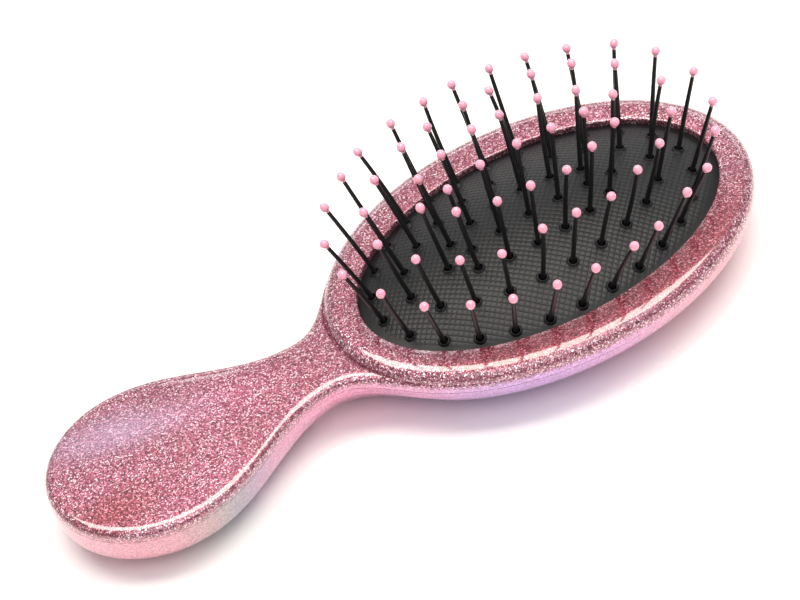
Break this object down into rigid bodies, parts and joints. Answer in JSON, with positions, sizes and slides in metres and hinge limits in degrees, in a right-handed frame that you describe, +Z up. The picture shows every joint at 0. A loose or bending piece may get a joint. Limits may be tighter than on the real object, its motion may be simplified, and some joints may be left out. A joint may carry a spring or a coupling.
{
  "type": "vanity hairbrush",
  "caption": "Small oval cushion hairbrush with a hollow two-part shell, a domed air cushion and sprung ball-tipped pins.",
  "frame": {"origin": "middle of the brush's length and width, on the surface that it lies on", "axes": "+X along the handle towards the head end, +Z up out of the cushion, +Y across"},
  "size_m": [0.142, 0.0592, 0.0369],
  "materials": {
    "glitter_front": "clear gloss over fine rose glitter",
    "pearl_back": "pearlescent gloss, pink to lavender",
    "cushion_rubber": "satin, fine woven texture",
    "carrier_plastic": "matt moulded",
    "pin_nylon": "satin black shaft with a pink dipped ball tip"
  },
  "bodies": {
    "shell": {"front_shell": "glitter_front", "back_shell": "pearl_back", "pad_carrier": "carrier_plastic"},
    "cushion": {"cushion_pad": "cushion_rubber"},
    "pin_outer_01": {"pin_outer_01": "pin_nylon"},
    "pin_outer_02": {"pin_outer_02": "pin_nylon"},
    "pin_outer_03": {"pin_outer_03": "pin_nylon"},
    "pin_outer_04": {"pin_outer_04": "pin_nylon"},
    "pin_outer_05": {"pin_outer_05": "pin_nylon"},
    "pin_outer_06": {"pin_outer_06": "pin_nylon"},
    "pin_outer_07": {"pin_outer_07": "pin_nylon"},
    "pin_outer_08": {"pin_outer_08": "pin_nylon"},
    "pin_outer_09": {"pin_outer_09": "pin_nylon"},
    "pin_outer_10": {"pin_outer_10": "pin_nylon"},
    "pin_outer_11": {"pin_outer_11": "pin_nylon"},
    "pin_outer_12": {"pin_outer_12": "pin_nylon"},
    "pin_outer_13": {"pin_outer_13": "pin_nylon"},
    "pin_outer_14": {"pin_outer_14": "pin_nylon"},
    "pin_outer_15": {"pin_outer_15": "pin_nylon"},
    "pin_outer_16": {"pin_outer_16": "pin_nylon"},
    "pin_outer_17": {"pin_outer_17": "pin_nylon"},
    "pin_outer_18": {"pin_outer_18": "pin_nylon"},
    "pin_outer_19": {"pin_outer_19": "pin_nylon"},
    "pin_outer_20": {"pin_outer_20": "pin_nylon"},
    "pin_outer_21": {"pin_outer_21": "pin_nylon"},
    "pin_outer_22": {"pin_outer_22": "pin_nylon"},
    "pin_outer_23": {"pin_outer_23": "pin_nylon"},
    "pin_outer_24": {"pin_outer_24": "pin_nylon"},
    "pin_outer_25": {"pin_outer_25": "pin_nylon"},
    "pin_outer_26": {"pin_outer_26": "pin_nylon"},
    "pin_middle_01": {"pin_middle_01": "pin_nylon"},
    "pin_middle_02": {"pin_middle_02": "pin_nylon"},
    "pin_middle_03": {"pin_middle_03": "pin_nylon"},
    "pin_middle_04": {"pin_middle_04": "pin_nylon"},
    "pin_middle_05": {"pin_middle_05": "pin_nylon"},
    "pin_middle_06": {"pin_middle_06": "pin_nylon"},
    "pin_middle_07": {"pin_middle_07": "pin_nylon"},
    "pin_middle_08": {"pin_middle_08": "pin_nylon"},
    "pin_middle_09": {"pin_middle_09": "pin_nylon"},
    "pin_middle_10": {"pin_middle_10": "pin_nylon"},
    "pin_middle_11": {"pin_middle_11": "pin_nylon"},
    "pin_middle_12": {"pin_middle_12": "pin_nylon"},
    "pin_middle_13": {"pin_middle_13": "pin_nylon"},
    "pin_middle_14": {"pin_middle_14": "pin_nylon"},
    "pin_middle_15": {"pin_middle_15": "pin_nylon"},
    "pin_middle_16": {"pin_middle_16": "pin_nylon"},
    "pin_middle_17": {"pin_middle_17": "pin_nylon"},
    "pin_middle_18": {"pin_middle_18": "pin_nylon"},
    "pin_middle_19": {"pin_middle_19": "pin_nylon"},
    "pin_middle_20": {"pin_middle_20": "pin_nylon"},
    "pin_inner_01": {"pin_inner_01": "pin_nylon"},
    "pin_pair_inner_02_03": {"pin_pair_inner_02_03": "pin_nylon"},
    "pin_pair_inner_04_05": {"pin_pair_inner_04_05": "pin_nylon"},
    "pin_pair_inner_06_07": {"pin_pair_inner_06_07": "pin_nylon"},
    "pin_inner_08": {"pin_inner_08": "pin_nylon"},
    "pin_pair_inner_09_10": {"pin_pair_inner_09_10": "pin_nylon"},
    "pin_pair_inner_11_12": {"pin_pair_inner_11_12": "pin_nylon"},
    "pin_pair_inner_13_14": {"pin_pair_inner_13_14": "pin_nylon"},
    "pin_row_centre": {"pin_row_centre": "pin_nylon"}
  },
  "joints": [
    {"name": "cushion_press", "type": "slide", "parent": "shell", "child": "cushion", "axis": [0, 0, -1], "range_m": [0, 0.002], "stiffness_N_per_m": 2500, "deforming": ["cushion_pad"]},
    {"name": "pin_outer_01_tilt", "type": "hinge", "parent": "cushion", "child": "pin_outer_01", "pos_m": [0.05948, 0.0005, 0.01343], "axis": [1, 0, 0], "range_deg": [-12, 12], "stiffness_Nm_per_rad": 0.01},
    {"name": "pin_outer_02_tilt", "type": "hinge", "parent": "cushion", "child": "pin_outer_02", "pos_m": [0.05776, 0.00643, 0.0134], "axis": [1, 0, 0], "range_deg": [-6, 12], "stiffness_Nm_per_rad": 0.01},
    {"name": "pin_outer_03_tilt", "type": "hinge", "parent": "cushion", "child": "pin_outer_03", "pos_m": [0.05381, 0.01125, 0.01333], "axis": [1, 0, 0], "range_deg": [-6, 12], "stiffness_Nm_per_rad": 0.01},
    {"name": "pin_outer_04_tilt", "type": "hinge", "parent": "cushion", "child": "pin_outer_04", "pos_m": [0.04867, 0.01482, 0.01324], "axis": [1, 0, 0], "range_deg": [-6, 12], "stiffness_Nm_per_rad": 0.01},
    {"name": "pin_outer_05_tilt", "type": "hinge", "parent": "cushion", "child": "pin_outer_05", "pos_m": [0.0429, 0.01732, 0.01315], "axis": [1, 0, 0], "range_deg": [-6, 12], "stiffness_Nm_per_rad": 0.01},
    {"name": "pin_outer_06_tilt", "type": "hinge", "parent": "cushion", "child": "pin_outer_06", "pos_m": [0.03681, 0.01888, 0.01306], "axis": [1, 0, 0], "range_deg": [-6, 12], "stiffness_Nm_per_rad": 0.01},
    {"name": "pin_outer_07_tilt", "type": "hinge", "parent": "cushion", "child": "pin_outer_07", "pos_m": [0.03055, 0.01961, 0.01298], "axis": [1, 0, 0], "range_deg": [-6, 12], "stiffness_Nm_per_rad": 0.01},
    {"name": "pin_outer_08_tilt", "type": "hinge", "parent": "cushion", "child": "pin_outer_08", "pos_m": [0.02426, 0.01954, 0.0129], "axis": [1, 0, 0], "range_deg": [-6, 12], "stiffness_Nm_per_rad": 0.01},
    {"name": "pin_outer_09_tilt", "type": "hinge", "parent": "cushion", "child": "pin_outer_09", "pos_m": [0.01802, 0.01869, 0.01284], "axis": [1, 0, 0], "range_deg": [-6, 12], "stiffness_Nm_per_rad": 0.01},
    {"name": "pin_outer_10_tilt", "type": "hinge", "parent": "cushion", "child": "pin_outer_10", "pos_m": [0.01196, 0.01698, 0.01278], "axis": [1, 0, 0], "range_deg": [-6, 12], "stiffness_Nm_per_rad": 0.01},
    {"name": "pin_outer_11_tilt", "type": "hinge", "parent": "cushion", "child": "pin_outer_11", "pos_m": [0.00627, 0.01433, 0.01274], "axis": [1, 0, 0], "range_deg": [-6, 12], "stiffness_Nm_per_rad": 0.01},
    {"name": "pin_outer_12_tilt", "type": "hinge", "parent": "cushion", "child": "pin_outer_12", "pos_m": [0.00127, 0.01057, 0.0127], "axis": [1, 0, 0], "range_deg": [-6, 12], "stiffness_Nm_per_rad": 0.01},
    {"name": "pin_outer_13_tilt", "type": "hinge", "parent": "cushion", "child": "pin_outer_13", "pos_m": [-0.0024, 0.00554, 0.01268], "axis": [1, 0, 0], "range_deg": [-6, 12], "stiffness_Nm_per_rad": 0.01},
    {"name": "pin_outer_14_tilt", "type": "hinge", "parent": "cushion", "child": "pin_outer_14", "pos_m": [-0.00367, -0.0005, 0.01267], "axis": [1, 0, 0], "range_deg": [-12, 12], "stiffness_Nm_per_rad": 0.01},
    {"name": "pin_outer_15_tilt", "type": "hinge", "parent": "cushion", "child": "pin_outer_15", "pos_m": [-0.00194, -0.00643, 0.01268], "axis": [1, 0, 0], "range_deg": [-12, 6], "stiffness_Nm_per_rad": 0.01},
    {"name": "pin_outer_16_tilt", "type": "hinge", "parent": "cushion", "child": "pin_outer_16", "pos_m": [0.002, -0.01125, 0.01271], "axis": [1, 0, 0], "range_deg": [-12, 6], "stiffness_Nm_per_rad": 0.01},
    {"name": "pin_outer_17_tilt", "type": "hinge", "parent": "cushion", "child": "pin_outer_17", "pos_m": [0.00715, -0.01483, 0.01274], "axis": [1, 0, 0], "range_deg": [-12, 6], "stiffness_Nm_per_rad": 0.01},
    {"name": "pin_outer_18_tilt", "type": "hinge", "parent": "cushion", "child": "pin_outer_18", "pos_m": [0.01291, -0.01732, 0.01279], "axis": [1, 0, 0], "range_deg": [-12, 6], "stiffness_Nm_per_rad": 0.01},
    {"name": "pin_outer_19_tilt", "type": "hinge", "parent": "cushion", "child": "pin_outer_19", "pos_m": [0.01901, -0.01888, 0.01285], "axis": [1, 0, 0], "range_deg": [-12, 6], "stiffness_Nm_per_rad": 0.01},
    {"name": "pin_outer_20_tilt", "type": "hinge", "parent": "cushion", "child": "pin_outer_20", "pos_m": [0.02526, -0.01961, 0.01291], "axis": [1, 0, 0], "range_deg": [-12, 6], "stiffness_Nm_per_rad": 0.01},
    {"name": "pin_outer_21_tilt", "type": "hinge", "parent": "cushion", "child": "pin_outer_21", "pos_m": [0.03156, -0.01954, 0.01299], "axis": [1, 0, 0], "range_deg": [-12, 6], "stiffness_Nm_per_rad": 0.01},
    {"name": "pin_outer_22_tilt", "type": "hinge", "parent": "cushion", "child": "pin_outer_22", "pos_m": [0.0378, -0.01869, 0.01307], "axis": [1, 0, 0], "range_deg": [-12, 6], "stiffness_Nm_per_rad": 0.01},
    {"name": "pin_outer_23_tilt", "type": "hinge", "parent": "cushion", "child": "pin_outer_23", "pos_m": [0.04385, -0.01698, 0.01316], "axis": [1, 0, 0], "range_deg": [-12, 6], "stiffness_Nm_per_rad": 0.01},
    {"name": "pin_outer_24_tilt", "type": "hinge", "parent": "cushion", "child": "pin_outer_24", "pos_m": [0.04954, -0.01433, 0.01326], "axis": [1, 0, 0], "range_deg": [-12, 6], "stiffness_Nm_per_rad": 0.01},
    {"name": "pin_outer_25_tilt", "type": "hinge", "parent": "cushion", "child": "pin_outer_25", "pos_m": [0.05455, -0.01057, 0.01334], "axis": [1, 0, 0], "range_deg": [-12, 6], "stiffness_Nm_per_rad": 0.01},
    {"name": "pin_outer_26_tilt", "type": "hinge", "parent": "cushion", "child": "pin_outer_26", "pos_m": [0.05821, -0.00554, 0.01341], "axis": [1, 0, 0], "range_deg": [-12, 6], "stiffness_Nm_per_rad": 0.01},
    {"name": "pin_middle_01_tilt", "type": "hinge", "parent": "cushion", "child": "pin_middle_01", "pos_m": [0.05351, 0.00049, 0.01509], "axis": [1, 0, 0], "range_deg": [-12, 12], "stiffness_Nm_per_rad": 0.01},
    {"name": "pin_middle_02_tilt", "type": "hinge", "parent": "cushion", "child": "pin_middle_02", "pos_m": [0.05069, 0.0058, 0.0153], "axis": [1, 0, 0], "range_deg": [-12, 12], "stiffness_Nm_per_rad": 0.01},
    {"name": "pin_middle_03_tilt", "type": "hinge", "parent": "cushion", "child": "pin_middle_03", "pos_m": [0.04555, 0.00919, 0.01561], "axis": [1, 0, 0], "range_deg": [-12, 12], "stiffness_Nm_per_rad": 0.01},
    {"name": "pin_middle_04_tilt", "type": "hinge", "parent": "cushion", "child": "pin_middle_04", "pos_m": [0.03971, 0.01125, 0.01585], "axis": [1, 0, 0], "range_deg": [-12, 12], "stiffness_Nm_per_rad": 0.01},
    {"name": "pin_middle_05_tilt", "type": "hinge", "parent": "cushion", "child": "pin_middle_05", "pos_m": [0.03361, 0.01236, 0.01597], "axis": [1, 0, 0], "range_deg": [-12, 12], "stiffness_Nm_per_rad": 0.01},
    {"name": "pin_middle_06_tilt", "type": "hinge", "parent": "cushion", "child": "pin_middle_06", "pos_m": [0.02741, 0.01267, 0.01595], "axis": [1, 0, 0], "range_deg": [-12, 12], "stiffness_Nm_per_rad": 0.01},
    {"name": "pin_middle_07_tilt", "type": "hinge", "parent": "cushion", "child": "pin_middle_07", "pos_m": [0.02122, 0.01224, 0.01579], "axis": [1, 0, 0], "range_deg": [-12, 12], "stiffness_Nm_per_rad": 0.01},
    {"name": "pin_middle_08_tilt", "type": "hinge", "parent": "cushion", "child": "pin_middle_08", "pos_m": [0.01515, 0.01099, 0.01551], "axis": [1, 0, 0], "range_deg": [-12, 12], "stiffness_Nm_per_rad": 0.01},
    {"name": "pin_middle_09_tilt", "type": "hinge", "parent": "cushion", "child": "pin_middle_09", "pos_m": [0.00938, 0.00876, 0.01512], "axis": [1, 0, 0], "range_deg": [-12, 12], "stiffness_Nm_per_rad": 0.01},
    {"name": "pin_middle_10_tilt", "type": "hinge", "parent": "cushion", "child": "pin_middle_10", "pos_m": [0.00444, 0.00509, 0.01468], "axis": [1, 0, 0], "range_deg": [-12, 12], "stiffness_Nm_per_rad": 0.01},
    {"name": "pin_middle_11_tilt", "type": "hinge", "parent": "cushion", "child": "pin_middle_11", "pos_m": [0.0023, -0.00049, 0.01447], "axis": [1, 0, 0], "range_deg": [-12, 12], "stiffness_Nm_per_rad": 0.01},
    {"name": "pin_middle_12_tilt", "type": "hinge", "parent": "cushion", "child": "pin_middle_12", "pos_m": [0.00513, -0.00581, 0.01475], "axis": [1, 0, 0], "range_deg": [-12, 12], "stiffness_Nm_per_rad": 0.01},
    {"name": "pin_middle_13_tilt", "type": "hinge", "parent": "cushion", "child": "pin_middle_13", "pos_m": [0.01027, -0.0092, 0.01518], "axis": [1, 0, 0], "range_deg": [-12, 12], "stiffness_Nm_per_rad": 0.01},
    {"name": "pin_middle_14_tilt", "type": "hinge", "parent": "cushion", "child": "pin_middle_14", "pos_m": [0.01611, -0.01125, 0.01556], "axis": [1, 0, 0], "range_deg": [-12, 12], "stiffness_Nm_per_rad": 0.01},
    {"name": "pin_middle_15_tilt", "type": "hinge", "parent": "cushion", "child": "pin_middle_15", "pos_m": [0.02221, -0.01236, 0.01583], "axis": [1, 0, 0], "range_deg": [-12, 12], "stiffness_Nm_per_rad": 0.01},
    {"name": "pin_middle_16_tilt", "type": "hinge", "parent": "cushion", "child": "pin_middle_16", "pos_m": [0.0284, -0.01267, 0.01596], "axis": [1, 0, 0], "range_deg": [-12, 12], "stiffness_Nm_per_rad": 0.01},
    {"name": "pin_middle_17_tilt", "type": "hinge", "parent": "cushion", "child": "pin_middle_17", "pos_m": [0.03459, -0.01224, 0.01596], "axis": [1, 0, 0], "range_deg": [-12, 12], "stiffness_Nm_per_rad": 0.01},
    {"name": "pin_middle_18_tilt", "type": "hinge", "parent": "cushion", "child": "pin_middle_18", "pos_m": [0.04066, -0.01099, 0.01582], "axis": [1, 0, 0], "range_deg": [-12, 12], "stiffness_Nm_per_rad": 0.01},
    {"name": "pin_middle_19_tilt", "type": "hinge", "parent": "cushion", "child": "pin_middle_19", "pos_m": [0.04643, -0.00876, 0.01556], "axis": [1, 0, 0], "range_deg": [-12, 12], "stiffness_Nm_per_rad": 0.01},
    {"name": "pin_middle_20_tilt", "type": "hinge", "parent": "cushion", "child": "pin_middle_20", "pos_m": [0.05137, -0.00509, 0.01525], "axis": [1, 0, 0], "range_deg": [-12, 12], "stiffness_Nm_per_rad": 0.01},
    {"name": "pin_inner_01_tilt", "type": "hinge", "parent": "cushion", "child": "pin_inner_01", "pos_m": [0.04544, 0.00045, 0.01675], "axis": [1, 0, 0], "range_deg": [-12, 12], "stiffness_Nm_per_rad": 0.01},
    {"name": "pin_pair_inner_02_03_tilt", "type": "hinge", "parent": "cushion", "child": "pin_pair_inner_02_03", "pos_m": [0.03868, 0.00496, 0.01726], "axis": [0.9575, -0.2831, -0.0554], "range_deg": [-12, 12], "stiffness_Nm_per_rad": 0.02},
    {"name": "pin_pair_inner_04_05_tilt", "type": "hinge", "parent": "cushion", "child": "pin_pair_inner_04_05", "pos_m": [0.02745, 0.00639, 0.0175], "axis": [0.9998, 0.0097, 0.015], "range_deg": [-12, 12], "stiffness_Nm_per_rad": 0.02},
    {"name": "pin_pair_inner_06_07_tilt", "type": "hinge", "parent": "cushion", "child": "pin_pair_inner_06_07", "pos_m": [0.01627, 0.00467, 0.01693], "axis": [0.9439, 0.3198, 0.0825], "range_deg": [-12, 12], "stiffness_Nm_per_rad": 0.02},
    {"name": "pin_inner_08_tilt", "type": "hinge", "parent": "cushion", "child": "pin_inner_08", "pos_m": [0.01037, -0.00045, 0.01633], "axis": [1, 0, 0], "range_deg": [-12, 12], "stiffness_Nm_per_rad": 0.01},
    {"name": "pin_pair_inner_09_10_tilt", "type": "hinge", "parent": "cushion", "child": "pin_pair_inner_09_10", "pos_m": [0.01713, -0.00496, 0.017], "axis": [0.956, -0.2827, 0.0783], "range_deg": [-12, 12], "stiffness_Nm_per_rad": 0.02},
    {"name": "pin_pair_inner_11_12_tilt", "type": "hinge", "parent": "cushion", "child": "pin_pair_inner_11_12", "pos_m": [0.02836, -0.00639, 0.01751], "axis": [0.9999, 0.0097, 0.0091], "range_deg": [-12, 12], "stiffness_Nm_per_rad": 0.02},
    {"name": "pin_pair_inner_13_14_tilt", "type": "hinge", "parent": "cushion", "child": "pin_pair_inner_13_14", "pos_m": [0.03954, -0.00467, 0.01721], "axis": [0.9454, 0.3203, -0.0599], "range_deg": [-12, 12], "stiffness_Nm_per_rad": 0.02},
    {"name": "pin_row_centre_tilt", "type": "hinge", "parent": "cushion", "child": "pin_row_centre", "pos_m": [0.02791, 0, 0.01809], "axis": [1, 0, 0], "range_deg": [-12, 12], "stiffness_Nm_per_rad": 0.05}
  ]
}
